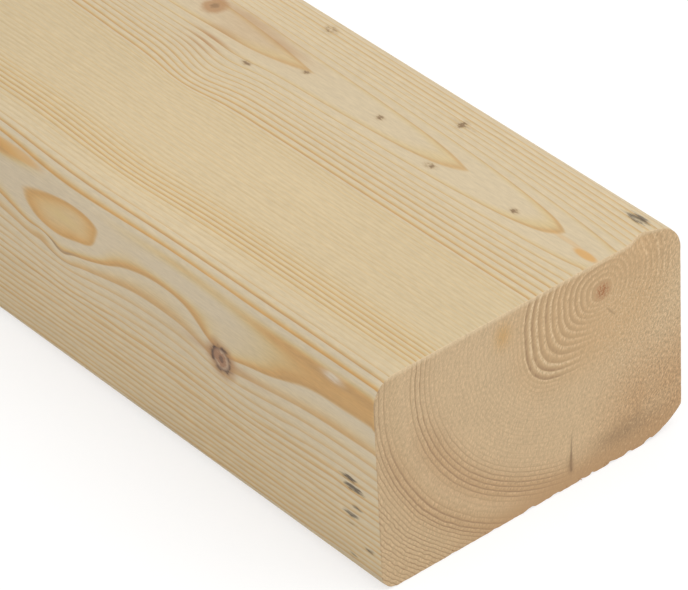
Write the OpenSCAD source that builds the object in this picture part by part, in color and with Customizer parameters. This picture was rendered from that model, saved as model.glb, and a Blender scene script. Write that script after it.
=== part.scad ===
// Planed softwood stud timber: one sawn length of spruce with eased edges,
// and a wane where the log was too slim to fill the far bottom edge.

/* [Board] */
// Length the board is cut to
board_l = 2400; // [600:100:6000]
// Width of the wide faces
board_w = 70; // [50:1:250]
// Thickness between the wide faces
board_t = 45; // [35:1:100]

/* [Eased edges] */
// Radius of the near top edge
near_top_r = 5; // [1:0.5:8]
// Radius of the far top edge
far_top_r = 6; // [1:0.5:8]
// Radius of the near bottom edge
near_bottom_r = 3.5; // [1:0.5:8]
// Radius of the far bottom edge, where there is no wane
far_bottom_r = 4; // [1:0.5:8]

/* [Wane] */
// Width that the wane takes off the bottom face at the top end of the log
wane_w = 10; // [5:0.5:14]
// Height that the wane takes off the far edge at the top end of the log
wane_h = 4.5; // [3:0.5:8]
// How much flatter the wane's round surface is than one that runs out into a face
wane_flatness = 1.1; // [1.1:0.05:4]
// Growth of the wane's radius for each metre towards the butt
wane_taper = 5; // [2:0.5:15]

/* [Hidden] */
$fn = 96;

// A cutter runs this far past the faces that it cuts
overrun = 0.5;
// The wane's chord runs from the bottom face to the far edge
wane_chord = norm([wane_w, wane_h]);
// Radius of the wane's surface at the top end of the log
wane_r = wane_flatness * pow(wane_chord, 2) / (2 * min(wane_w, wane_h));
// Its centre sits square to the middle of the chord, inside the board
wane_rise = sqrt(pow(wane_r, 2) - pow(wane_chord / 2, 2));
wane_centre = [
    board_w / 2 - wane_w / 2 - wane_rise * wane_h / wane_chord,
    wane_h / 2 + wane_rise * wane_w / wane_chord
];
// Radius of the wane's surface at a distance from the board's butt end
function wane_radius(from_butt) = wane_r + wane_taper * (board_l - from_butt) / 1000;

// Corner waste outside an eased edge: the corner points to +x and +y
module edge_waste(r) {
    difference() {
        translate([-r, -r]) square(r + overrun);
        translate([-r, -r]) circle(r);
    }
}

// The planed section: width along x, thickness along y
module section() {
    difference() {
        translate([-board_w / 2, 0]) square([board_w, board_t]);
        translate([-board_w / 2, board_t]) mirror([1, 0]) edge_waste(near_top_r);
        translate([board_w / 2, board_t]) edge_waste(far_top_r);
        translate([-board_w / 2, 0]) rotate(180) edge_waste(near_bottom_r);
        translate([board_w / 2, 0]) mirror([0, 1]) edge_waste(far_bottom_r);
    }
}

// Stands the drawing plane's z axis along the board, from its butt end at -X to its top end at +X
module along_board() {
    translate([-board_l / 2, 0, 0]) rotate([90, 0, 90]) children();
}

// What lies outside the wane's tapered surface at the far bottom edge
module wane_waste() {
    difference() {
        translate([board_w / 2 - wane_w - overrun, -overrun, -overrun])
            cube([wane_w + 2 * overrun, wane_h + 2 * overrun, board_l + 2 * overrun]);
        translate([wane_centre[0], wane_centre[1], -2 * overrun])
            cylinder(
                h = board_l + 4 * overrun,
                r1 = wane_radius(-2 * overrun),
                r2 = wane_radius(board_l + 2 * overrun)
            );
    }
}

module plank() {
    color("burlywood")
        along_board()
            difference() {
                linear_extrude(board_l) section();
                wane_waste();
            }
}

plank();
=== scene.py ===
import math
from types import SimpleNamespace

import bpy
from mathutils import Matrix, Vector


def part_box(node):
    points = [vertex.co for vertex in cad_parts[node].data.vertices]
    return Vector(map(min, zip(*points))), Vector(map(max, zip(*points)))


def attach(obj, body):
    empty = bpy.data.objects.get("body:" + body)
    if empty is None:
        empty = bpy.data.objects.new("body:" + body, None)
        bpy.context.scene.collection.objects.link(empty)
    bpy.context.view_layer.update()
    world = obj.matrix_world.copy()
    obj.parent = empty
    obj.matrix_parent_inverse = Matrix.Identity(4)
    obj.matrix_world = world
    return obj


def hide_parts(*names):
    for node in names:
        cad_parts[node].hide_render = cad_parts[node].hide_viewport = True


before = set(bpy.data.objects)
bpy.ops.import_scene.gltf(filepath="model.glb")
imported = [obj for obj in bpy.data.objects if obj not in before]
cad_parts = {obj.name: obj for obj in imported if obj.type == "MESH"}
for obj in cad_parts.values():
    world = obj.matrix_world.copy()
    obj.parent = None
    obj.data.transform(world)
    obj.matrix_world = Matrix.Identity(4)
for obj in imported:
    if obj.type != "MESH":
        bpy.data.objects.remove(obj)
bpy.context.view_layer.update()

# Sizes of the plank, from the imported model
MM = 0.001
low_corner, high_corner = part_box("plank")
LENGTH, WIDTH, THICKNESS = high_corner - low_corner
TOP_END = high_corner.x

# Eased edges and wane, as the plank is planed
NEAR_TOP_RADIUS = 5.0 * MM
FAR_TOP_RADIUS = 6.0 * MM
NEAR_BOTTOM_RADIUS = 3.5 * MM
FAR_BOTTOM_RADIUS = 4.0 * MM
WANE_WIDTH = 10.0 * MM
WANE_HEIGHT = 4.5 * MM
WANE_FLATNESS = 1.1
WANE_TAPER = 0.005
# The wane's round surface at the top end: its radius and the middle of its round
WANE_CHORD = math.hypot(WANE_WIDTH, WANE_HEIGHT)
WANE_RADIUS = WANE_FLATNESS * WANE_CHORD**2 / (2 * WANE_HEIGHT)
WANE_RISE = math.sqrt(WANE_RADIUS**2 - (WANE_CHORD / 2) ** 2)
WANE_Y = WIDTH / 2 - WANE_WIDTH / 2 - WANE_RISE * WANE_HEIGHT / WANE_CHORD
WANE_Z = WANE_HEIGHT / 2 + WANE_RISE * WANE_WIDTH / WANE_CHORD


class Value:
    """One output socket of a node tree. Arithmetic on it adds Math nodes to that tree."""

    def __init__(self, tree, socket=None):
        self.tree = tree
        self.socket = socket

    def node(self, kind, settings=None, sockets=None, output=0):
        """Adds a node of any kind: its settings first, then the values or links of its sockets."""
        made = self.tree.nodes.new(kind)
        for name, setting in (settings or {}).items():
            if name == "stops":
                set_stops(made.color_ramp, setting)
            else:
                setattr(made, name, setting)
        for name, wanted in (sockets or {}).items():
            several = wanted if isinstance(wanted, list) else [wanted]
            for one in several:
                if isinstance(one, Value):
                    self.tree.links.new(one.socket, made.inputs[name])
                else:
                    made.inputs[name].default_value = one
        return Value(self.tree, made.outputs[output] if made.outputs else None)

    def output(self, name):
        """Another output of the node that this value comes from."""
        return Value(self.tree, self.socket.node.outputs[name])

    def math(self, operation, *operands):
        return self.node("ShaderNodeMath", {"operation": operation}, dict(enumerate(operands)))

    def vector(self, operation, *operands, output=0):
        sockets = dict(enumerate(operands))
        return self.node("ShaderNodeVectorMath", {"operation": operation}, sockets, output)

    def __add__(self, other):
        return self.math("ADD", self, other)

    def __radd__(self, other):
        return self.math("ADD", other, self)

    def __sub__(self, other):
        return self.math("SUBTRACT", self, other)

    def __rsub__(self, other):
        return self.math("SUBTRACT", other, self)

    def __mul__(self, other):
        return self.math("MULTIPLY", self, other)

    def __rmul__(self, other):
        return self.math("MULTIPLY", other, self)

    def __truediv__(self, other):
        return self.math("DIVIDE", self, other)

    def __rtruediv__(self, other):
        return self.math("DIVIDE", other, self)

    def __pow__(self, other):
        return self.math("POWER", self, other)

    def __abs__(self):
        return self.math("ABSOLUTE", self)

    def exp(self):
        return self.math("EXPONENT", self)

    def sine(self):
        return self.math("SINE", self)

    def cosine(self):
        return self.math("COSINE", self)

    def floor(self):
        return self.math("FLOOR", self)

    def fract(self):
        return self.math("FRACT", self)

    def least(self, other):
        return self.math("MINIMUM", self, other)

    def most(self, other):
        return self.math("MAXIMUM", self, other)

    def above(self, other):
        """1 where this value is the greater one, and 0 elsewhere."""
        return self.math("GREATER_THAN", self, other)

    def below(self, other):
        """1 where this value is the lesser one, and 0 elsewhere."""
        return self.math("LESS_THAN", self, other)

    def step(self, start, end):
        """A soft step from 0 at start to 1 at end, which may be the lower of the two."""
        return self.node(
            "ShaderNodeMapRange",
            {"interpolation_type": "SMOOTHSTEP"},
            {"Value": self, "From Min": start, "From Max": end},
        )

    def bell(self, centre, width):
        """A smooth bump of height 1 at the centre."""
        return (((self - centre) / width) ** 2 * -1).exp()

    def mix(self, first, second):
        """Blends two colours by this value."""
        return self.node("ShaderNodeMix", {"data_type": "RGBA"}, {0: self, 6: first, 7: second}, 2)


def set_stops(ramp, stops):
    """Gives a colour ramp its (place, colour) stops."""
    while len(ramp.elements) > 1:
        ramp.elements.remove(ramp.elements[-1])
    for number, (place, colour) in enumerate(stops):
        stop = ramp.elements[0] if number == 0 else ramp.elements.new(place)
        stop.position = place
        stop.color = (*colour, 1)


def joined(x, y, z):
    """A vector from three parts, of which at least one is a Value."""
    maker = next(part for part in (x, y, z) if isinstance(part, Value))
    return maker.node("ShaderNodeCombineXYZ", None, {"X": x, "Y": y, "Z": z})


def split(vector):
    """The three parts of a vector."""
    x = vector.node("ShaderNodeSeparateXYZ", None, {0: vector})
    return x, x.output("Y"), x.output("Z")


def noise(place, scale, detail=2.0, roughness=0.5):
    """Noise from 0 to 1. Its features are about 1 / scale long, by axis."""
    return place.node(
        "ShaderNodeTexNoise",
        None,
        {
            "Vector": place.vector("MULTIPLY", place, scale),
            "Scale": 1.0,
            "Detail": detail,
            "Roughness": roughness,
        },
    )


def spot(place, centre, reach):
    """1 at the centre, fading out over the reach, by axis."""
    sockets = {0: place, "Location": centre, "Scale": reach}
    offset = place.node("ShaderNodeMapping", {"vector_type": "TEXTURE"}, sockets)
    return (offset.vector("DOT_PRODUCT", offset, offset, output=1) * -1).exp()


def strongest(place, spots):
    """The strongest of several spots, each with a centre, a reach and a strength."""
    found = None
    for centre, reach, strength in spots:
        one = spot(place, centre, reach) * strength
        found = one if found is None else found.most(one)
    return found


def shade(colour, amount):
    """Multiplies a colour by a grey amount."""
    settings = {"data_type": "RGBA", "blend_type": "MULTIPLY"}
    return colour.node("ShaderNodeMix", settings, {0: 1.0, 6: colour, 7: amount}, 2)


# From here to the end of the materials, places and sizes are in millimetres. A place is measured
# from the top end along the plank, where it is negative, from the middle across and from the bottom up.
NEAR_SIDE = WIDTH / MM / -2
FAR_SIDE = WIDTH / MM / 2
TOP = THICKNESS / MM

# The pith at the top end. It sways slowly along the plank: run for each radian of its wave, and sway
PITH_Y = 16.6
PITH_Z = 38.6
SWAY_RUN_Y = 700.0
SWAY_Y = 9.0
SWAY_RUN_Z = 520.0
SWAY_Z = 5.0
# The heart rises by this much at the top end, and by so much more over a run behind it.
# It sinks again from a place further on, over a longer run
HEART_AT_END = 0.8
HEART_RISE = 4.9
HEART_RISE_RUN = 60.0
HEART_SINKS_FROM = -140.0
HEART_SINK_RUN = 700.0
# Ring zones: the radius where each ends, on the near side of the pith, and the width of its rings
RING_ZONES = [(11.62, 1.36), (18.1, 1.62), (38.5, 0.927), (44.9, 1.067), (50.9, 1.2), (200.0, 0.8)]
# Look of the rings by radius: how strong the latewood is, where in the ring it starts,
# and how warm the pale wood is
CHART_REACH = 66.0
RING_CHART = [
    (0.0, (0.60, 0.85, 0.35)),
    (6.0, (0.60, 0.82, 0.35)),
    (9.5, (0.70, 0.65, 0.35)),
    (11.6, (0.75, 0.50, 0.30)),
    (18.3, (0.95, 0.50, 0.30)),
    (18.9, (0.25, 0.40, 0.65)),
    (22.0, (0.12, 0.30, 0.65)),
    (36.0, (0.16, 0.30, 0.65)),
    (38.5, (0.45, 0.35, 0.65)),
    (40.4, (0.95, 0.35, 0.60)),
    (43.2, (1.00, 0.40, 0.55)),
    (44.0, (0.40, 0.45, 0.60)),
    (45.3, (0.14, 0.45, 0.60)),
    (48.0, (0.14, 0.45, 0.45)),
    (49.2, (0.85, 0.45, 0.20)),
    (50.0, (1.00, 0.45, 0.00)),
    (50.9, (0.95, 0.52, 0.03)),
    (51.6, (0.95, 0.50, 0.05)),
    (51.8, (1.00, 0.15, 0.05)),
    (52.5, (1.00, 0.15, 0.05)),
    (52.7, (0.70, 0.45, 0.10)),
    (54.0, (0.60, 0.40, 0.15)),
    (57.0, (0.75, 0.30, 0.20)),
    (66.0, (0.70, 0.25, 0.35)),
]
# Swells, where rings bulge outwards, and dips, with a height below zero: centre, reach and height
SWELLS = [
    ((-89.0, NEAR_SIDE, 30.5), (14.0, 30.0, 6.5), 1.05),
    ((-89.0, NEAR_SIDE, 23.0), (16.0, 30.0, 9.0), 0.6),
    ((-200.0, NEAR_SIDE, 34.0), (110.0, 12.0, 30.0), 0.75),
    ((-35.0, NEAR_SIDE, 31.0), (13.0, 20.0, 5.0), 0.45),
    ((-42.0, NEAR_SIDE, 28.0), (6.5, 20.0, 5.0), 0.5),
    ((-81.0, NEAR_SIDE, 37.0), (8.0, 20.0, 3.0), 0.35),
    ((-50.0, NEAR_SIDE, 38.0), (15.0, 20.0, 2.8), 0.4),
    ((-54.0, NEAR_SIDE, 42.0), (14.0, 10.0, 1.4), -0.3),
    ((-56.0, NEAR_SIDE, 34.5), (9.0, 20.0, 3.0), -0.15),
    ((-36.0, NEAR_SIDE, 21.0), (14.0, 20.0, 8.0), 0.6),
    ((-93.5, NEAR_SIDE, 27.0), (3.0, 8.0, 1.6), -0.45),
    ((-87.5, NEAR_SIDE, 25.6), (3.5, 8.0, 1.8), 0.35),
    ((-108.0, NEAR_SIDE, 42.5), (12.0, 10.0, 3.0), -0.65),
    ((-79.0, NEAR_SIDE, 32.8), (4.5, 8.0, 2.2), 0.25),
    ((-93.0, 3.0, TOP), (8.0, 6.5, 20.0), 2.5),
    ((-135.0, 2.0, TOP), (20.0, 9.0, 20.0), -1.3),
    ((-78.0, 17.6, TOP), (12.0, 4.0, 8.0), -0.09),
    ((-118.0, 18.0, TOP), (26.0, 7.0, 10.0), 0.7),
    ((-78.0, -24.0, TOP), (16.0, 7.0, 9.0), 1.1),
]
# Knots by the top end: where each comes out, and its radius
TOP_KNOT = ((-108.5, 18.6, TOP), 2.0)
SIDE_KNOT = ((-42.0, NEAR_SIDE, 27.4), 2.5)
# A branch leans towards the top end by this much for each millimetre from the pith
BRANCH_LEAN = 0.25
# Whorls of branches along the rest of the plank. Each is turned against the last, in branch spacings
WHORL_SPACING = 390.0
FIRST_WHORL = -420.0
WHORL_TURN = 0.37
BRANCHES = 4
# A branch of a whorl strays from its place, in radians round the stem and along it, and its size varies
STRAY_ROUND = 0.5
STRAY_ALONG = 30.0
SMALLEST_BRANCH = 0.6
BRANCH_VARIETY = 3.4
# Share of its size that a branch has at the pith, and the run over which it gains its size once more
SHARE_AT_PITH = 0.25
BRANCH_GROWTH_RUN = 45.0
# Whorls end within this stretch, beyond which every branch counts as far away
WHORLS_FADE = (-230.0, -200.0)
FAR_AWAY = 50.0


def branch_nearness(place, outlet, size):
    """How near a place is to a branch that grew from the pith: 1 at the branch's surface."""
    outlet = Vector(outlet)
    reach = Vector((0, outlet.y - PITH_Y, outlet.z - PITH_Z))
    root = Vector((outlet.x - BRANCH_LEAN * reach.length, PITH_Y, PITH_Z))
    way = (outlet - root).normalized()
    offset = place.vector("SUBTRACT", place, root)
    run = offset.vector("DOT_PRODUCT", offset, way, output=1).most(0)
    axis = run.node("ShaderNodeVectorMath", {"operation": "SCALE"}, {0: way, "Scale": run})
    beside = offset.vector("SUBTRACT", offset, axis)
    return beside.vector("LENGTH", beside, output=1) / size


def whorl_nearness(x, across, up, radius):
    """How near a place is to the closest branch of the whorls: 1 at the branch's surface."""
    whorl = ((x - FIRST_WHORL) / WHORL_SPACING + 0.5).floor()
    turn = up.math("ARCTAN2", up, across) * (BRANCHES / math.tau) + whorl * WHORL_TURN
    branch = turn.math("FLOORED_MODULO", turn.floor(), BRANCHES)
    which = joined(whorl, branch, 0)
    own = which.node("ShaderNodeTexWhiteNoise", {"noise_dimensions": "2D"}, {"Vector": which}, "Color")
    own_turn, own_height, own_size = split(own)
    aside = (turn.fract() - 0.5) * (math.tau / BRANCHES) + (own_turn - 0.5) * STRAY_ROUND
    beside = aside.sine() * radius
    along = x - whorl * WHORL_SPACING - FIRST_WHORL - radius * BRANCH_LEAN
    along = along + (own_height - 0.5) * STRAY_ALONG
    size = own_size * BRANCH_VARIETY + SMALLEST_BRANCH
    size = size * (radius / BRANCH_GROWTH_RUN + SHARE_AT_PITH)
    return (beside * beside + along * along) ** 0.5 / size + x.step(*WHORLS_FADE) * FAR_AWAY


def ring_outline(x, across, up, radius):
    """Ring radius at a place, before swells and waver."""
    # Rings are flattened, squarish round the pith, and narrower on its far side
    below = up.step(2, -6)
    outer = radius.step(15, 36)
    flatness = below * (0.12 - 0.19 * outer) + 1.2
    near_corner = below * across.step(6, -4) * radius.bell(17, 8) * 1.6
    squareness = near_corner + (1 - below) * radius.bell(8, 7) * 0.7 + 2
    spread = abs(across + across.math("SMOOTH_MAX", across, 0, 3) * 0.15)
    ring = (spread**squareness + abs(up * flatness) ** squareness) ** (1 / squareness)
    # The heart rises towards the top face behind the top end, and sinks again further on
    sunk = ((x - HEART_SINKS_FROM).least(0) / HEART_SINK_RUN).exp()
    heart = (1 - (x / HEART_RISE_RUN).exp()) * sunk * HEART_RISE + HEART_AT_END
    ring = ring - heart * (((across - 1) ** 2 / 150 + (up - 6) ** 2 / 64) * -1).exp()
    # There the rings come to sharp points
    beside = abs(across - 1)
    pointed = (1 - (beside * -0.8).exp()) * (beside * beside / -50).exp() * up.step(0, 6)
    return ring + pointed * heart * 0.04


def ring_number(ring):
    """Number of the ring at a ring radius, from the ring widths of each zone."""
    inner_radius, inner_width = RING_ZONES[0]
    number = (ring.least(inner_radius) - inner_radius) / inner_width
    for outer_radius, width in RING_ZONES[1:]:
        number = number + (ring.least(outer_radius) - inner_radius).most(0) / width
        inner_radius = outer_radius
    return number


def growth(start, waver_on_cut=0.0):
    """The wood's growth: place, ring radius and phase, look of the ring, and nearness to a whorl."""
    place = start.node("ShaderNodeTexCoord", None, None, "Object")
    place = place.node(
        "ShaderNodeMapping",
        {"vector_type": "POINT"},
        {"Vector": place, "Location": (-TOP_END / MM, 0, 0), "Scale": (1 / MM, 1 / MM, 1 / MM)},
    )
    x, y, z = split(place)
    across = y - PITH_Y - ((x / SWAY_RUN_Y).cosine() - 1) * SWAY_Y
    up = z - PITH_Z - ((x / SWAY_RUN_Z).cosine() - 1) * SWAY_Z
    radius = (across * across + up * up) ** 0.5
    ring = ring_outline(x, across, up, radius)
    # Rings bulge over branches and waver along the plank
    whorl_knots = whorl_nearness(x, across, up, radius)
    ring = ring - (whorl_knots * whorl_knots * -0.2).exp() * 1.4
    for centre, reach, height in SWELLS:
        ring = ring - spot(place, centre, reach) * height
    waver = noise(place, (0.014, 0.07, 0.07), 1.0) - 0.5
    ring = ring + waver * (z.step(28, 14) * radius.step(40, 50) * 0.9 + 0.35)
    ring = ring + (noise(place, (0.045, 0.2, 0.2), 1.0) - 0.5) * 0.16
    ring = ring + (noise(place, (0.06, 0.6, 0.6), 1.0) - 0.5) * radius.step(52.5, 55) * 0.7
    if waver_on_cut:
        ring = ring + (noise(place, (1.0, 0.5, 0.5), 2.0) - 0.5) * waver_on_cut
    number = ring_number(ring)
    stops = [(at / CHART_REACH, look) for at, look in RING_CHART]
    chart = ring.node("ShaderNodeValToRGB", {"stops": stops}, {0: ring / CHART_REACH})
    strength = chart.node("ShaderNodeSeparateColor", None, {0: chart})
    late_start = strength.output("Green")
    warmth = strength.output("Blue")
    # Latewood is weaker by the far top edge, and clear on the far side
    strength = strength * (1 - across.step(2, 8) * 0.2 - y.step(29, 32) * z.step(36, 41) * 0.5)
    strength = strength + y.step(32.5, 34.5) * z.step(41, 36) * 0.35
    # Each ring has its own strength, and is stronger in some stretches than in others
    own = number.node("ShaderNodeTexWhiteNoise", {"noise_dimensions": "1D"}, {"W": number.floor()})
    patchy = noise(joined(x, ring, z), (0.03, 0.7, 0.1), 1.0)
    return SimpleNamespace(
        place=place,
        x=x,
        y=y,
        z=z,
        across=across,
        up=up,
        radius=radius,
        ring=ring,
        phase=number.fract(),
        strength=strength * (own * 0.6 + patchy * 0.8 + 0.35),
        late_start=late_start,
        warmth=warmth,
        whorl_knots=whorl_knots,
    )


# Colours of the planed faces
EARLYWOOD = (0.70, 0.58, 0.405, 1)
MIDWOOD = (0.70, 0.525, 0.25, 1)
LATEWOOD = (0.62, 0.38, 0.165, 1)
LINE_CORE = (0.44, 0.25, 0.10, 1)
KNOT_BROWN = (0.38, 0.21, 0.12, 1)
KNOT_LIGHT = (0.55, 0.38, 0.25, 1)
KNOT_RIM = (0.10, 0.06, 0.045, 1)
KNOT_HALO = (0.47, 0.26, 0.12, 1)
PIN_DARK = (0.24, 0.15, 0.075, 1)
PIN_HALO = (0.45, 0.30, 0.15, 1)
DIRT = (0.06, 0.045, 0.035, 1)
BARK_STREAK = (0.33, 0.26, 0.18, 1)
RESIN = (0.71, 0.405, 0.14, 1)
SCUFF = (0.75, 0.68, 0.55, 1)
WANE_TAN = (0.50, 0.33, 0.18, 1)
WANE_BARK = (0.22, 0.13, 0.075, 1)

# Radius of the ring that is full of resin
RESIN_RING = 50.9
# Painted shade and marks on the planed faces: centre and reach, and in the lists also how strong each one
# is
# A broad patch of painted shade on the top face, further along from the top end
PAINTED_SHADE_PATCH = ((-125.0, -10.0, TOP), (35.0, 25.0, 12.0))
STAIN_BY_SIDE_KNOT = ((-42.0, NEAR_SIDE, 27.6), (10.0, 6.0, 1.0))
BRUISE = ((-100.5, 11.0, TOP), (5.0, 4.5, 4.0))
OVAL_MIDDLE = ((-87.0, NEAR_SIDE, 34.6), (5.5, 5.0, 1.4))
SCUFFED_PLACE = ((-11.0, NEAR_SIDE + 1, 40.7), (2.4, 3.0, 0.8))
# Pin knots and dark flecks on the top face
PIN_KNOTS = [
    ((-89.7, 10.8, TOP), (1.5, 0.9, 4.0), 1.0),
    ((-80.0, 16.7, TOP), (1.2, 0.9, 4.0), 1.0),
    ((-59.5, 17.0, TOP), (1.4, 0.9, 4.0), 1.0),
    ((-42.0, 13.8, TOP), (1.7, 1.1, 4.0), 0.9),
    ((-21.5, 15.4, TOP), (1.4, 0.9, 4.0), 1.0),
    ((-47.7, 26.2, TOP), (1.5, 1.5, 4.0), 1.05),
    ((-47.7, 26.4, TOP), (4.5, 0.5, 4.0), 0.7),
    ((-87.5, 29.0, TOP), (2.4, 1.9, 4.0), 0.75),
]
# Dirt by the far top corner of the top end, and specks of it on the near side
DIRT_SPECKS = [
    ((-5.0, 29.6, TOP - 0.5), (3.8, 1.5, 3.0), 0.9),
    ((-6.8, NEAR_SIDE, 19.3), (3.2, 3.0, 0.8), 1.1),
    ((-7.8, NEAR_SIDE, 20.9), (2.8, 3.0, 0.65), 1.0),
    ((-6.0, NEAR_SIDE, 15.2), (2.0, 3.0, 0.7), 0.7),
    ((-7.6, NEAR_SIDE, 13.0), (2.2, 3.0, 0.7), 0.95),
    ((-8.0, NEAR_SIDE, 11.2), (2.0, 3.0, 0.7), 0.55),
    ((-3.2, NEAR_SIDE, 7.5), (2.2, 3.0, 0.8), 0.75),
    ((-8.0, NEAR_SIDE, 3.8), (1.8, 3.0, 1.2), 0.5),
]
# Resin-rich streaks on the top and high on the near side
RESIN_STREAKS = [
    ((-3.2, 15.6, TOP), (2.7, 0.85, 3.0), 0.9),
    ((-8.5, 16.3, TOP), (4.0, 0.5, 3.0), 0.3),
    ((-101.0, NEAR_SIDE, 41.8), (8.0, 8.0, 0.9), 0.7),
]
# Tan stains between the top's knot and the tip of the figure beside it
TAN_STAINS = [
    ((-97.0, 18.0, TOP), (14.0, 3.6, 5.0), 0.3),
    ((-101.0, 20.6, TOP), (9.0, 1.2, 5.0), 0.45),
    ((-89.0, 19.2, TOP), (7.0, 1.1, 5.0), 0.4),
]
# Streaks of bark caught in the grain of the near side
BARK_STREAKS = [
    ((-88.5, NEAR_SIDE, 27.4), (5.0, 4.0, 1.2), 1.0),
    ((-88.5, NEAR_SIDE, 25.4), (3.0, 4.0, 1.0), 0.8),
]


def new_material(name):
    """An empty material, and a Value to start its nodes from."""
    material = bpy.data.materials.new(name)
    material.use_nodes = True
    tree = material.node_tree
    tree.nodes.clear()
    return material, Value(tree)


def finish_surface(start, colour, roughness, relief, strength, depth):
    """Ends a material in a dull surface, with a relief of the given depth as its bump."""
    sockets = {"Height": relief, "Strength": strength, "Distance": depth}
    normal = relief.node("ShaderNodeBump", None, sockets)
    surface = start.node(
        "ShaderNodeBsdfPrincipled",
        None,
        {"Base Color": colour, "Roughness": roughness, "Normal": normal, "Specular IOR Level": 0.3},
    )
    start.node("ShaderNodeOutputMaterial", None, {"Surface": surface})


def ring_colours(wood, sharp_edge):
    """Each ring turns from pale earlywood through yellow to orange latewood, then stops sharply."""
    phase, strength = wood.phase, wood.strength
    yellow = phase.step(wood.late_start - 0.25, 0.9) * sharp_edge * strength * 0.8 + wood.warmth * 0.6
    late = phase.step(wood.late_start, 0.95) ** 1.4 * sharp_edge * strength * 1.1
    core = phase.step(0.8, 0.95) * sharp_edge * strength * (wood.ring.step(20, 38) * 0.2 + 0.15)
    colour = yellow.least(1).mix(EARLYWOOD, MIDWOOD)
    latewood = (wood.ring.bell(RESIN_RING, 0.7) * 0.95).mix(LATEWOOD, RESIN)
    colour = late.least(1).mix(colour, latewood)
    return core.mix(colour, LINE_CORE)


def paint_knot(colour, nearness, mottle, rim_darkness):
    """Paints a knot: a brown halo, a mottled inside and a dark, broken rim."""
    nearness = nearness + (mottle - 0.5) * 0.5
    colour = (nearness.step(2.0, 1.0) * 0.8).mix(colour, KNOT_HALO)
    inside = mottle.step(0.42, 0.6).mix(KNOT_BROWN, KNOT_LIGHT)
    colour = nearness.step(1.0, 0.8).mix(colour, inside)
    rim = nearness.bell(0.95, 0.2) * (mottle.step(0.75, 0.4) * 0.6 + 0.4) * rim_darkness
    heart = nearness.step(0.3, 0.1) * 0.6
    return rim.most(heart).mix(colour, KNOT_RIM)


def paint_knots(colour, wood):
    """Paints the knots of the whorls, of the near side and of the top."""
    mottle = noise(wood.place, (0.6, 0.9, 0.9), 2.0)
    side_knot = branch_nearness(wood.place, *SIDE_KNOT)
    colour = paint_knot(colour, wood.whorl_knots, mottle, 0.8)
    colour = paint_knot(colour, side_knot, mottle, 1.0)
    # The top's knot is a tan patch with a dark heart
    tan_knot = branch_nearness(wood.place, *TOP_KNOT) + (mottle - 0.5) * 0.7
    colour = (tan_knot.step(1.6, 0.8) * 0.85).mix(colour, KNOT_HALO)
    colour = (tan_knot.step(0.6, 0.2) * 0.7).mix(colour, PIN_DARK)
    # A stain runs along the grain on both sides of the side's knot
    stain = spot(wood.place, *STAIN_BY_SIDE_KNOT) * side_knot.step(0.9, 1.2)
    return (stain * 0.6).mix(colour, KNOT_HALO)


def paint_stains(colour, wood, sharp_edge, clouds):
    """Paints stains, resin and bark in the grain."""
    place, phase = wood.place, wood.phase
    # A bruise darkens the lines by the dip in the top, and grime lies low on the near side
    bruise = spot(place, *BRUISE) * phase.step(0.4, 0.85) * sharp_edge
    colour = (bruise * 0.9).mix(colour, KNOT_HALO)
    grime = wood.y.step(NEAR_SIDE + 4, NEAR_SIDE) * wood.z.step(10, 2) * clouds.step(0.4, 0.65)
    colour = (grime * 0.4).mix(colour, BARK_STREAK)
    for centre, reach, amount in TAN_STAINS:
        colour = (spot(place, centre, reach) * amount).mix(colour, KNOT_HALO)
    for centre, reach, amount in RESIN_STREAKS:
        colour = (spot(place, centre, reach).step(0.1, 0.6) * amount).mix(colour, RESIN)
    # The oval figure on the near side is yellow in the middle
    colour = (spot(place, *OVAL_MIDDLE) * 0.75).mix(colour, MIDWOOD)
    for centre, reach, amount in BARK_STREAKS:
        bark = spot(place, centre, reach) * phase.step(0.7, 0.9) * sharp_edge
        colour = (bark * amount).mix(colour, BARK_STREAK)
    return colour


def paint_pin_knots(colour, place):
    """Paints ragged pin knots, each with a pale brown halo."""
    ragged = noise(place, (1.0, 2.2, 2.2), 1.0)
    pins = strongest(place, PIN_KNOTS) * (ragged * 1.6 + 0.15)
    colour = (pins.step(0.15, 0.85) * 0.5).mix(colour, PIN_HALO)
    return (pins.step(0.55, 1.0) * 0.85).mix(colour, PIN_DARK)


def paint_dirt(colour, place, dashes):
    """Paints dirt, broken up along the grain, and a scuff by the near top corner."""
    dirt = strongest(place, DIRT_SPECKS)
    dirt = (dirt + (dashes - 0.5) * 1.6).step(0.35, 0.95) * dirt.step(0.1, 0.3)
    colour = (dirt * 0.85).mix(colour, DIRT)
    scuff = spot(place, *SCUFFED_PLACE) * (dashes * 1.5 + 0.1)
    return scuff.least(0.8).mix(colour, SCUFF)


def paint_wane(colour, wood, dashes):
    """Paints the wane, which keeps the log's brown outside with flakes of inner bark."""
    from_y = wood.y - WANE_Y / MM
    from_z = wood.z - WANE_Z / MM
    outside = (from_y * from_y + from_z * from_z) ** 0.5 + wood.x * WANE_TAPER - WANE_RADIUS / MM
    inner_edge = FAR_SIDE - WANE_WIDTH / MM
    upper_edge = WANE_HEIGHT / MM
    wane = (outside + (dashes - 0.5) * 0.4).step(-0.5, -0.15)
    wane = wane * wood.y.step(inner_edge - 1.5, inner_edge)
    wane = wane * wood.z.step(upper_edge + 2, upper_edge + 0.5)
    flakes = noise(wood.place, (0.1, 0.45, 0.45), 3.0, 0.6)
    colour = (wane * 0.8).mix(colour, WANE_TAN)
    return (wane * flakes.step(0.5, 0.56) * 0.8).mix(colour, WANE_BARK)


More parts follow.
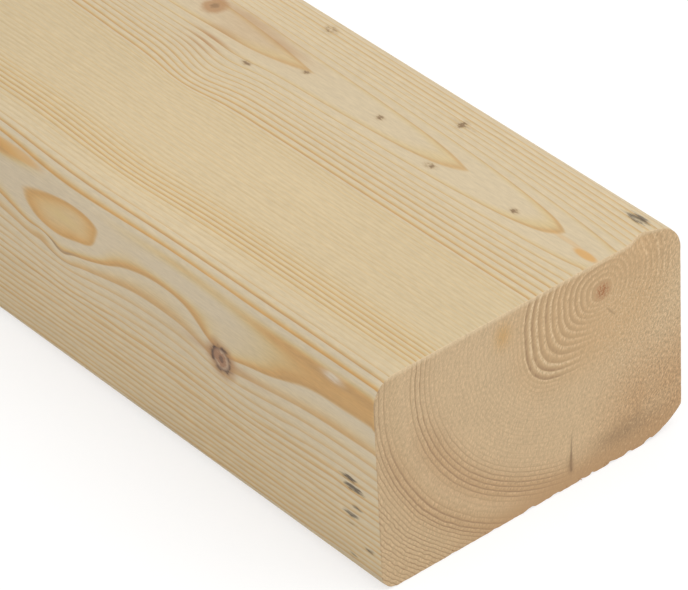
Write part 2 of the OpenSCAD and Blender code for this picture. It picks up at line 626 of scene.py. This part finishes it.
def planed_faces():
    """Planed spruce: rings, knots and marks of the long faces, a broad patch of painted shade, and the
    wane.
    """
    material, start = new_material("planed_spruce")
    wood = growth(start)
    place = wood.place
    fibres = noise(place, (0.05, 2.4, 2.4), 2.0, 0.6)
    dashes = noise(place, (0.35, 2.0, 2.0), 2.0, 0.6)
    clouds = noise(place, (0.018, 0.06, 0.06), 2.0)
    sharp_edge = wood.phase.step(1.0, 0.93 - wood.ring.step(49, 53) * 0.08)
    colour = ring_colours(wood, sharp_edge)
    tone = (fibres - 0.5) * 0.16 + (dashes - 0.5) * 0.28 + (clouds - 0.5) * 0.14 + 0.985
    # Painted shade darkens a broad patch of the top face
    colour = shade(colour, tone - spot(place, *PAINTED_SHADE_PATCH) * 0.07)
    colour = paint_knots(colour, wood)
    colour = paint_stains(colour, wood, sharp_edge, clouds)
    colour = paint_pin_knots(colour, place)
    colour = paint_dirt(colour, place, dashes)
    colour = paint_wane(colour, wood, dashes)
    finish_surface(start, colour, fibres * 0.2 + 0.5, fibres, 0.25, 0.1 * MM)
    return material


# Colours of the sawn ends
END_WOOD = (0.64, 0.465, 0.275, 1)
END_GOLD = (0.625, 0.42, 0.225, 1)
END_BROWN = (0.53, 0.335, 0.175, 1)
END_STAIN = (0.38, 0.25, 0.135, 1)
END_GREY = (0.61, 0.44, 0.255, 1)
END_LINE = (0.38, 0.24, 0.13, 1)
END_PALE = (0.80, 0.63, 0.40, 1)
END_PITH = (0.40, 0.17, 0.07, 1)
END_RESIN = (0.60, 0.36, 0.14, 1)
END_DARK = (0.16, 0.10, 0.06, 1)

# The saw's slant in radians, and how far the cut makes the rings waver
SAW_SLANT = 0.45
CUT_WAVER = 0.3
# Marks on the top end: centre and reach
SOILED_PATCH = ((0.0, 20.5, 5.5), (10.0, 7.0, 2.6))
RESIN_PATCH = ((0.0, -6.3, 40.6), (10.0, 1.8, 2.6))
CHECK_FOOT = ((0.0, 8.4, 4.8), (10.0, 0.8, 1.8))
# The drying check: its place across the plank, and where it fades out at its foot and at its tip
CHECK_Y = 8.8
CHECK_FOOT_FADE = (2.8, 3.6)
CHECK_TIP_FADE = (14.0, 6.0)
# The short crack by the pith: its middle, its slant, its half width and half length
CRACK_Y = 18.5
CRACK_Z = 33.2
CRACK_SLANT = (0.78, 0.62)
CRACK_WIDTH = 0.2
CRACK_LENGTH = 1.5


def saw_cut(wood):
    """What the saw left on an end: grit, slanted marks, and wood torn towards the far bottom edge."""
    sockets = {"Vector": wood.place, "Rotation": (SAW_SLANT, 0, 0)}
    slanted = wood.place.node("ShaderNodeMapping", None, sockets)
    return SimpleNamespace(
        slanted=slanted,
        grit=noise(slanted, (1.0, 2.8, 1.5), 2.0, 0.7),
        marks=noise(slanted, (1.0, 2.6, 0.25), 2.0, 0.6),
        clouds=noise(wood.place, (0.05, 0.09, 0.09), 2.0),
        torn=(wood.across - wood.up * 0.45).step(2, 26),
        top_end=wood.x.step(-20, -10),
    )


def end_ground(wood, cut, outside):
    """Ground colour of an end: gold round the pith, brown bands low down, and stains."""
    across, up, ring = wood.across, wood.up, wood.ring
    colour = outside.mix(END_WOOD, END_GREY)
    colour = (ring.step(26, 12) * 0.95).mix(colour, END_GOLD)
    brown = ring.bell(42, 3.5).most(ring.bell(50, 2.5) * 0.8) * (up.step(-2, -16) * 0.8 + 0.2)
    colour = (brown * 0.75).mix(colour, END_BROWN)
    stain = across.step(-8, 10) * up.step(-6, -32) * (cut.clouds.step(0.25, 0.55) * 0.6 + 0.4)
    colour = stain.mix(colour, END_BROWN)
    soiled = spot(wood.place, *SOILED_PATCH) * (cut.grit + 0.25) * cut.top_end
    return soiled.least(1).mix(colour, END_STAIN)


def ring_clearness(wood, cut, outside):
    """How clear the rings are on an end: clearest on the near side of the pith, and least where torn."""
    across, up, ring = wood.across, wood.up, wood.ring
    clear = (up * 0.35 - across + ring.step(25, 40) * 6).step(-2, 10) * 0.85
    clear = clear + ring.step(16, 4) * 0.25 + 0.1
    faint = up.step(-18, -4) * ring.step(30, 38) * (1 - ring.bell(42.4, 1.5))
    clear = clear * (1 + outside * 0.15) * (1 - faint * 0.5) * (1 - cut.torn * 0.6)
    clear = clear.most(across.step(1, 5) * up.step(-8, -1) * 0.5)
    broken = cut.grit.step(0.35, 0.6) * 0.8 + cut.marks.step(0.4, 0.6) * 0.7 + 0.1
    return clear * wood.strength * broken


def paint_end_rings(colour, wood, cut, outside):
    """Paints the rings' dark lines, each with a pale line after it. Lines are wider round the pith."""
    phase = wood.phase
    clear = ring_clearness(wood, cut, outside)
    inner = wood.ring.step(21, 18)
    pale = phase.bell(0.15, 0.18) * clear * (inner * 0.35 + 0.15)
    colour = pale.least(1).mix(colour, END_PALE)
    late = phase.step(0.55 - inner * 0.3, 0.9) * phase.step(1.0, 0.92)
    return (late * clear * (1 - inner * 0.3)).least(1).mix(colour, END_LINE)


def paint_torn_wood(colour, wood, cut):
    """Paints the saw's grit and marks, the brown bottom rim, and torn and loose fibres."""
    across, up, grit, torn = wood.across, wood.up, cut.grit, cut.torn
    tone = (grit - 0.5) * (torn * 0.9 + 0.75) + (cut.marks - 0.5) * 0.35 + (cut.clouds - 0.5) * 0.1
    colour = shade(colour, tone + 1.02)
    bottom_rim = across.step(-42, -15) * wood.z.step(6, 0.5) * (grit + 0.3)
    colour = bottom_rim.least(1).mix(colour, END_BROWN)
    colour = (grit.step(0.6, 0.75) * (torn * 0.5 + 0.2)).mix(colour, END_PALE)
    # Loose fibres catch the light below the pith
    fibres = noise(cut.slanted, (1.0, 4.0, 2.5), 1.0).step(0.56, 0.68)
    fibres = fibres * across.step(-6, 3) * up.step(2, -3)
    return (fibres * wood.radius.step(36, 18) * 0.6).mix(colour, END_PALE)


def paint_cracks(colour, wood, cut):
    """Paints the drying check with its dark foot, and the short crack that runs down from the pith."""
    y, z, top_end = wood.y, wood.z, cut.top_end
    check = (y + (cut.clouds - 0.5) * 1.5).bell(CHECK_Y, z.step(10, 5) * 0.12 + 0.18)
    check = check * z.step(*CHECK_TIP_FADE) * z.step(*CHECK_FOOT_FADE)
    check = check * (cut.grit.step(0.3, 0.5) * 0.5 + 0.5) * top_end
    colour = (check * 0.8).mix(colour, END_DARK)
    colour = (spot(wood.place, *CHECK_FOOT) * top_end * 0.6).mix(colour, END_LINE)
    steep, flat = CRACK_SLANT
    crack = ((y - CRACK_Y) * steep + (z - CRACK_Z) * flat).bell(0, CRACK_WIDTH)
    crack = crack * ((y - CRACK_Y) * flat - (z - CRACK_Z) * steep).bell(0, CRACK_LENGTH) * top_end
    return (crack * 0.6).mix(colour, END_LINE)


def sawn_ends():
    """Sawn end grain: the same rings cut across, with the marks of the top end and a painted highlight
    along the top rims.
    """
    material, start = new_material("sawn_end_grain")
    wood = growth(start, CUT_WAVER)
    cut = saw_cut(wood)
    outside = wood.ring.step(45.5, 47)
    colour = end_ground(wood, cut, outside)
    colour = paint_end_rings(colour, wood, cut, outside)
    resin = spot(wood.place, *RESIN_PATCH) * cut.top_end * (cut.grit * 1.2 + 0.1)
    colour = resin.least(1).mix(colour, END_RESIN)
    colour = (wood.radius.step(2.6, 0.6) * cut.grit.step(0.4, 0.55)).mix(colour, END_PITH)
    colour = paint_torn_wood(colour, wood, cut)
    colour = paint_cracks(colour, wood, cut)
    # Painted highlight: the top rim of each end is lightened where its edge catches the light, broken up
    # by the grit
    colour = (wood.z.step(TOP - 1, TOP - 0.1) * (cut.grit + 0.1)).mix(colour, END_PALE)
    finish_surface(start, colour, 0.75, cut.grit, 0.2, 0.3 * MM)
    return material


# Sizes that the plank's shape takes, in metres as everything from here on
PLANK_SIZES = {
    "Length": LENGTH,
    "Width": WIDTH,
    "Thickness": THICKNESS,
    "Near top radius": NEAR_TOP_RADIUS,
    "Far top radius": FAR_TOP_RADIUS,
    "Near bottom radius": NEAR_BOTTOM_RADIUS,
    "Far bottom radius": FAR_BOTTOM_RADIUS,
    "Saw roughness": 0.1 * MM,
    "Worn rim": 0.07 * MM,
    "Rim notch": 1.3 * MM,
    "Chip depth": 0.45 * MM,
    "Splinter length": 1.1 * MM,
    "Splinter radius": 0.25 * MM,
}
# Each eased edge: its radius, and which way its corner points across and up
EASED_EDGES = [
    ("Near top radius", -1, 1),
    ("Far top radius", 1, 1),
    ("Near bottom radius", -1, -1),
    ("Far bottom radius", 1, -1),
]
# Rows of points along the plank, across it and up it
ROWS = (151, 131, 85)
# Edges sharper than this show as edges
SHARP_EDGE = math.radians(55)
# How far wear reaches from an end: the worn rim, the chips, which also reach up, and the saw marks
WEAR_RUN = 1.0 * MM
CHIP_RUN = 1.5 * MM
CHIP_RISE = 2.0 * MM
SAW_RUN = 3.0 * MM
# Saw marks and chips for each metre
SAW_MARKS = 900.0
CHIPS = 350.0
# The notch in the top rim of the top end: its place across, its half width, its lowest point,
# and its run along the plank
NOTCH_Y = 26.8 * MM
NOTCH_WIDTH = 2.6 * MM
NOTCH_FLOOR = 40.0 * MM
NOTCH_RUN = 6.0 * MM
# The ends' own material starts this far behind the cut
END_DEPTH = 0.35 * MM
# Splinters along the bottom rim of the top end. The start and spacing of their row are shares of the width
SPLINTERS = 24
SPLINTER_SIDES = 5
SPLINTER_ROW_START = -0.44
SPLINTER_SPACING = 0.034
SPLINTER_INSET = 0.3 * MM
SPLINTER_RISE = 0.5 * MM
# How far each splinter is shifted, turned in radians and scaled: least, most and seed
SPLINTER_SHIFT = ((-0.2 * MM, -2.0 * MM, -0.2 * MM), (0.1 * MM, 2.0 * MM, 0.3 * MM), 3)
SPLINTER_TURN = ((0, 1.4, -0.6), (0, 1.75, 0.6), 5)
SPLINTER_SCALE = ((0.5, 0.5, 0.3), (1.2, 1.2, 1.0), 7)
# Layout of the map for baked textures, in shares of its side: a strip of the long faces for each half of
# the plank, with the ends above them
STRIP_LENGTH = 0.99
STRIP_HALF_HEIGHT = 0.186
STRIP_SPACING = 0.38
STRIP_MARGIN = 0.004
MAP_MARGIN = 0.005
END_MAP_WIDTH = 0.31
END_MAP_SPACING = 0.33
END_MAP_LEVEL = 0.78
SPLINTER_MAP_SCALE = 20.0
SPLINTER_MAP_PLACE = (0.8, 0.85)


def store_bake_map(geometry, u, v):
    """Stores a place on the map for baked textures at each corner of the faces."""
    return geometry.node(
        "GeometryNodeStoreNamedAttribute",
        {"data_type": "FLOAT2", "domain": "CORNER"},
        {"Geometry": geometry, "Name": "OFBake", "Value": joined(u, v, 0)},
    )


def map_block(block, where, run, y, z, width, thickness):
    """Lays the block's long faces and ends out on the map for baked textures."""
    domain = {"data_type": "FLOAT_VECTOR", "domain": "FACE"}
    facing = block.node("GeometryNodeInputNormal")
    facing = facing.node("GeometryNodeFieldOnDomain", domain, {0: facing})
    facing_x, facing_y, facing_z = split(facing)
    middle = where.node("GeometryNodeFieldOnDomain", domain, {0: where})
    middle_x = split(middle)[0]
    front = middle_x.above(0)
    # Distance round the section, from the near bottom edge up and over the top
    girth = (facing_y * -1).most(0) * z + facing_z.most(0) * (thickness + y)
    girth = girth + facing_y.most(0) * (thickness * 2 + width - z)
    girth = girth + (facing_z * -1).most(0) * (thickness * 2 + width * 2 - y)
    strip_u = abs(run) * STRIP_LENGTH + MAP_MARGIN
    strip_v = girth / (thickness + width) * STRIP_HALF_HEIGHT + front * STRIP_SPACING + STRIP_MARGIN
    end_scale = END_MAP_WIDTH / width
    end_u = y * end_scale + front * END_MAP_SPACING + MAP_MARGIN
    end_v = z * end_scale + END_MAP_LEVEL
    end = abs(facing_x)
    return store_bake_map(block, strip_u * (1 - end) + end_u * end, strip_v * (1 - end) + end_v * end)


def eased(y, z, side, level, width, thickness, radius):
    """Rounds one long edge of the section: side and level say which way its corner points."""
    never_zero = 1e-12
    a = ((y - width / 2 * side) * side + radius).most(0)
    b = ((z - thickness * max(level, 0)) * level + radius).most(0)
    pull = a.most(b) / (a * a + b * b).most(never_zero) ** 0.5
    return y + a * (pull - 1) * side, z + b * (pull - 1) * level


def waned(x, y, z, half, width):
    """Pulls the far bottom edge in to the log's round surface, where the log was too slim to fill it."""
    from_y = y - WANE_Y
    from_z = z - WANE_Z
    reach = (half - x) * WANE_TAPER + WANE_RADIUS
    pull = (reach / (from_y * from_y + from_z * from_z) ** 0.5).least(1) - 1
    window = (y - width / 2 + WANE_WIDTH).above(0) * z.below(WANE_HEIGHT + MM)
    return y + from_y * pull * window, z + from_z * pull * window


def rim_notch(y, z, thickness):
    """Depth of the notch in the top rim, from 0 to 1."""
    return y.bell(NOTCH_Y, NOTCH_WIDTH) * z.step(NOTCH_FLOOR, thickness)


def sawn(x, y, z, half, size):
    """Wears both ends: a worn rim, a chipped bottom rim, pits of saw marks and one notch."""
    thickness = size["Thickness"]
    marks = noise(joined(0, y, z), (0, SAW_MARKS, SAW_MARKS), 3.0)
    behind = half - abs(x)
    worn = behind.step(WEAR_RUN, 0) * size["Worn rim"] * (marks + 0.4)
    y = y * (1 - worn / (size["Width"] / 2))
    z = thickness / 2 + (z - thickness / 2) * (1 - worn / (thickness / 2))
    chips = noise(joined(0, y, 0), (0, CHIPS, 0), 4.0).step(0.48, 0.62)
    chipped = behind.step(CHIP_RUN, 0) * z.step(CHIP_RISE, 0) * chips
    # Chips are deepest on the far half
    chipped = chipped * (y.step(-15 * MM, 10 * MM) * 0.7 + 0.3)
    z = z + chipped * size["Chip depth"]
    notch = rim_notch(y, z, thickness) * (x - half).step(-NOTCH_RUN, 0)
    x = x - x.math("SIGN", x) * behind.step(SAW_RUN, 0) * marks * size["Saw roughness"]
    x = x - notch * size["Rim notch"]
    return x, y, z


def random_vector(start, low, high, seed):
    """A random vector for each point, between two others."""
    settings = {"data_type": "FLOAT_VECTOR"}
    return start.node("FunctionNodeRandomValue", settings, {0: low, 1: high, "Seed": seed})


def splinters(half, size):
    """Small splinters along the bottom rim of the top end."""
    width = size["Width"]
    points = half.node(
        "GeometryNodeMeshLine",
        None,
        {
            "Count": SPLINTERS,
            "Start Location": joined(half - SPLINTER_INSET, width * SPLINTER_ROW_START, SPLINTER_RISE),
            "Offset": joined(0, width * SPLINTER_SPACING, 0),
        },
    )
    shift = random_vector(half, *SPLINTER_SHIFT)
    points = points.node("GeometryNodeSetPosition", None, {"Geometry": points, "Offset": shift})
    cone = half.node(
        "GeometryNodeMeshCone",
        None,
        {
            "Vertices": SPLINTER_SIDES,
            "Radius Bottom": size["Splinter radius"],
            "Depth": size["Splinter length"],
        },
    )
    x, _, z = split(half.node("GeometryNodeInputPosition"))
    map_u, map_v = SPLINTER_MAP_PLACE
    cone = store_bake_map(cone, x * SPLINTER_MAP_SCALE + map_u, z * SPLINTER_MAP_SCALE + map_v)
    turn = random_vector(half, *SPLINTER_TURN)
    turn = turn.node("FunctionNodeEulerToRotation", None, {0: turn})
    scale = random_vector(half, *SPLINTER_SCALE)
    return points.node(
        "GeometryNodeInstanceOnPoints",
        None,
        {"Points": points, "Instance": cone, "Rotation": turn, "Scale": scale},
    )


def dressed(whole, where, half, size, face_material, end_material):
    """Gives the long faces and the sawn ends their materials."""
    x, y, z = split(where)
    notch = rim_notch(y, z, size["Thickness"]) * x.above(0)
    at_ends = abs(x).above(half - notch * size["Rim notch"] - END_DEPTH)
    kind = "GeometryNodeSetMaterial"
    whole = whole.node(kind, None, {"Geometry": whole, "Material": face_material})
    return whole.node(kind, None, {"Geometry": whole, "Selection": at_ends, "Material": end_material})


def plank_shape(face_material, end_material):
    """A tree that sweeps the planed section along the plank and roughens its sawn ends."""
    tree = bpy.data.node_groups.new("plank_shape", "GeometryNodeTree")
    tree.is_modifier = True
    tree.interface.new_socket("Geometry", in_out="OUTPUT", socket_type="NodeSocketGeometry")
    for name in PLANK_SIZES:
        tree.interface.new_socket(name, in_out="INPUT", socket_type="NodeSocketFloat")
    start = Value(tree)
    length = start.node("NodeGroupInput", None, None, "Length")
    size = {name: length.output(name) for name in PLANK_SIZES}
    width = size["Width"]
    thickness = size["Thickness"]
    half = length / 2
    rows_x, rows_y, rows_z = ROWS
    block = start.node(
        "GeometryNodeMeshCube",
        None,
        {
            "Size": joined(length, width, thickness),
            "Vertices X": rows_x,
            "Vertices Y": rows_y,
            "Vertices Z": rows_z,
        },
    )
    where = start.node("GeometryNodeInputPosition")
    x, y, z = split(where)
    z = z + thickness / 2
    block = map_block(block, where, x / half, y + width / 2, z, width, thickness)
    # Cross sections crowd towards both ends
    x = (x / half * (math.pi / 2)).sine() * half
    for name, side, level in EASED_EDGES:
        y, z = eased(y, z, side, level, width, thickness, size[name])
    y, z = waned(x, y, z, half, width)
    x, y, z = sawn(x, y, z, half, size)
    moved = {"Geometry": block, "Position": joined(x, y, z)}
    block = block.node("GeometryNodeSetPosition", None, moved)
    block = block.node("GeometryNodeSetShadeSmooth", None, {"Geometry": block, "Shade Smooth": True})
    whole = block.node("GeometryNodeJoinGeometry", None, {"Geometry": [splinters(half, size), block]})
    whole = whole.node("GeometryNodeRealizeInstances", None, {"Geometry": whole})
    whole = dressed(whole, where, half, size, face_material, end_material)
    whole.node("NodeGroupOutput", None, {"Geometry": whole})
    return tree


def build_plank():
    """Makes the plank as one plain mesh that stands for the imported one."""
    tree = plank_shape(planed_faces(), sawn_ends())
    holder = bpy.data.objects.new("plank_maker", bpy.data.meshes.new("plank_maker"))
    bpy.context.scene.collection.objects.link(holder)
    modifier = holder.modifiers.new("plank_shape", "NODES")
    modifier.node_group = tree
    for item in tree.interface.items_tree:
        if item.in_out == "INPUT":
            modifier[item.identifier] = PLANK_SIZES[item.name]
    seen = holder.evaluated_get(bpy.context.evaluated_depsgraph_get())
    mesh = bpy.data.meshes.new_from_object(seen)
    mesh.name = "spruce_plank"
    mesh.set_sharp_from_angle(angle=SHARP_EDGE)
    bpy.data.objects.remove(holder)
    plank = bpy.data.objects.new("spruce_plank", mesh)
    bpy.context.scene.collection.objects.link(plank)
    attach(plank, "root")
    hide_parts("plank")


# Camera, as the photograph was taken: its place from the middle of the bottom edge of the top end,
# the way it looks in degrees, and its lens and sensor in millimetres
CAMERA_OFFSET = Vector((534.42, -461.01, 567.36)) * MM
CAMERA_AZIMUTH = 51.781
CAMERA_ELEVATION = 36.364
CAMERA_ROLL = -3.029
CAMERA_LENS = 269.85
CAMERA_SENSOR = 36.0
VIEW_DISTANCE = 100.0


def add_camera():
    """A camera at the photograph's viewing angle."""
    azimuth = math.radians(CAMERA_AZIMUTH)
    elevation = math.radians(CAMERA_ELEVATION)
    roll = math.radians(CAMERA_ROLL)
    level = math.cos(elevation)
    back = Vector((math.sin(azimuth) * level, -math.cos(azimuth) * level, math.sin(elevation)))
    right = Vector((math.cos(azimuth), math.sin(azimuth), 0))
    up = back.cross(right)
    turned_right = right * math.cos(roll) + up * math.sin(roll)
    turned_up = up * math.cos(roll) - right * math.sin(roll)
    data = bpy.data.cameras.new("camera")
    data.lens = CAMERA_LENS
    data.sensor_width = CAMERA_SENSOR
    data.clip_end = VIEW_DISTANCE
    camera = bpy.data.objects.new("camera", data)
    bpy.context.scene.collection.objects.link(camera)
    place = Matrix((turned_right, turned_up, back)).transposed().to_4x4()
    place.translation = Vector((TOP_END, 0, 0)) + CAMERA_OFFSET
    camera.matrix_world = place
    bpy.context.scene.camera = camera


# Floor: its half side, its own colour, and its colour and glow where it is seen
FLOOR_HALF = 20.0
FLOOR_PALE = (0.8, 0.8, 0.8, 1)
FLOOR_SEEN = (0.45, 0.45, 0.45, 1)
FLOOR_GLOW = (0.64, 0.64, 0.64, 1)
NO_GLOW = (0, 0, 0, 1)
# Sky: how strongly it lights the plank, and what is added where it is seen, up to white
SKY_STRENGTH = 0.6
SKY_ADDED = 0.4
# Wide, soft lamps: strength, how wide each is in degrees, and the way towards it
LAMPS = [
    ("key_light", 1.1, 60, (0.45, 0.5, 1.0)),
    ("fill_light", 0.45, 90, (0.3, -1.0, 0.6)),
]


def seen_directly(start):
    """1 for what the camera sees, by itself or in gloss or glass, and 0 for what only gives light."""
    seen = start.node("ShaderNodeLightPath", None, None, "Is Camera Ray")
    return seen.most(seen.output("Is Glossy Ray")).most(seen.output("Is Transmission Ray"))


def add_floor():
    """A plain pale floor that is nearly white where it is seen."""
    corners = [(x * FLOOR_HALF, y * FLOOR_HALF, 0) for x, y in ((-1, -1), (1, -1), (1, 1), (-1, 1))]
    mesh = bpy.data.meshes.new("floor")
    mesh.from_pydata(corners, [], [(0, 1, 2, 3)])
    floor = bpy.data.objects.new("floor", mesh)
    bpy.context.scene.collection.objects.link(floor)
    material, start = new_material("pale_floor")
    seen = seen_directly(start)
    surface = start.node(
        "ShaderNodeBsdfPrincipled",
        None,
        {
            "Base Color": seen.mix(FLOOR_PALE, FLOOR_SEEN),
            "Roughness": 1.0,
            "Specular IOR Level": 0.0,
            "Emission Color": seen.mix(NO_GLOW, FLOOR_GLOW),
            "Emission Strength": 1.0,
        },
    )
    start.node("ShaderNodeOutputMaterial", None, {"Surface": surface})
    mesh.materials.append(material)


def add_lights():
    """A plain sky and two soft lamps."""
    world = bpy.data.worlds.new("studio")
    bpy.context.scene.world = world
    world.use_nodes = True
    world.node_tree.nodes.clear()
    start = Value(world.node_tree)
    strength = seen_directly(start) * SKY_ADDED + SKY_STRENGTH
    sky = start.node("ShaderNodeBackground", None, {"Color": (1, 1, 1, 1), "Strength": strength})
    start.node("ShaderNodeOutputWorld", None, {"Surface": sky})
    for name, energy, angle, heading in LAMPS:
        data = bpy.data.lights.new(name, "SUN")
        data.energy = energy
        data.angle = math.radians(angle)
        light = bpy.data.objects.new(name, data)
        bpy.context.scene.collection.objects.link(light)
        light.rotation_euler = Vector(heading).to_track_quat("Z", "Y").to_euler()


build_plank()
add_camera()
add_floor()
add_lights()
bpy.context.scene.view_settings.view_transform = "Standard"
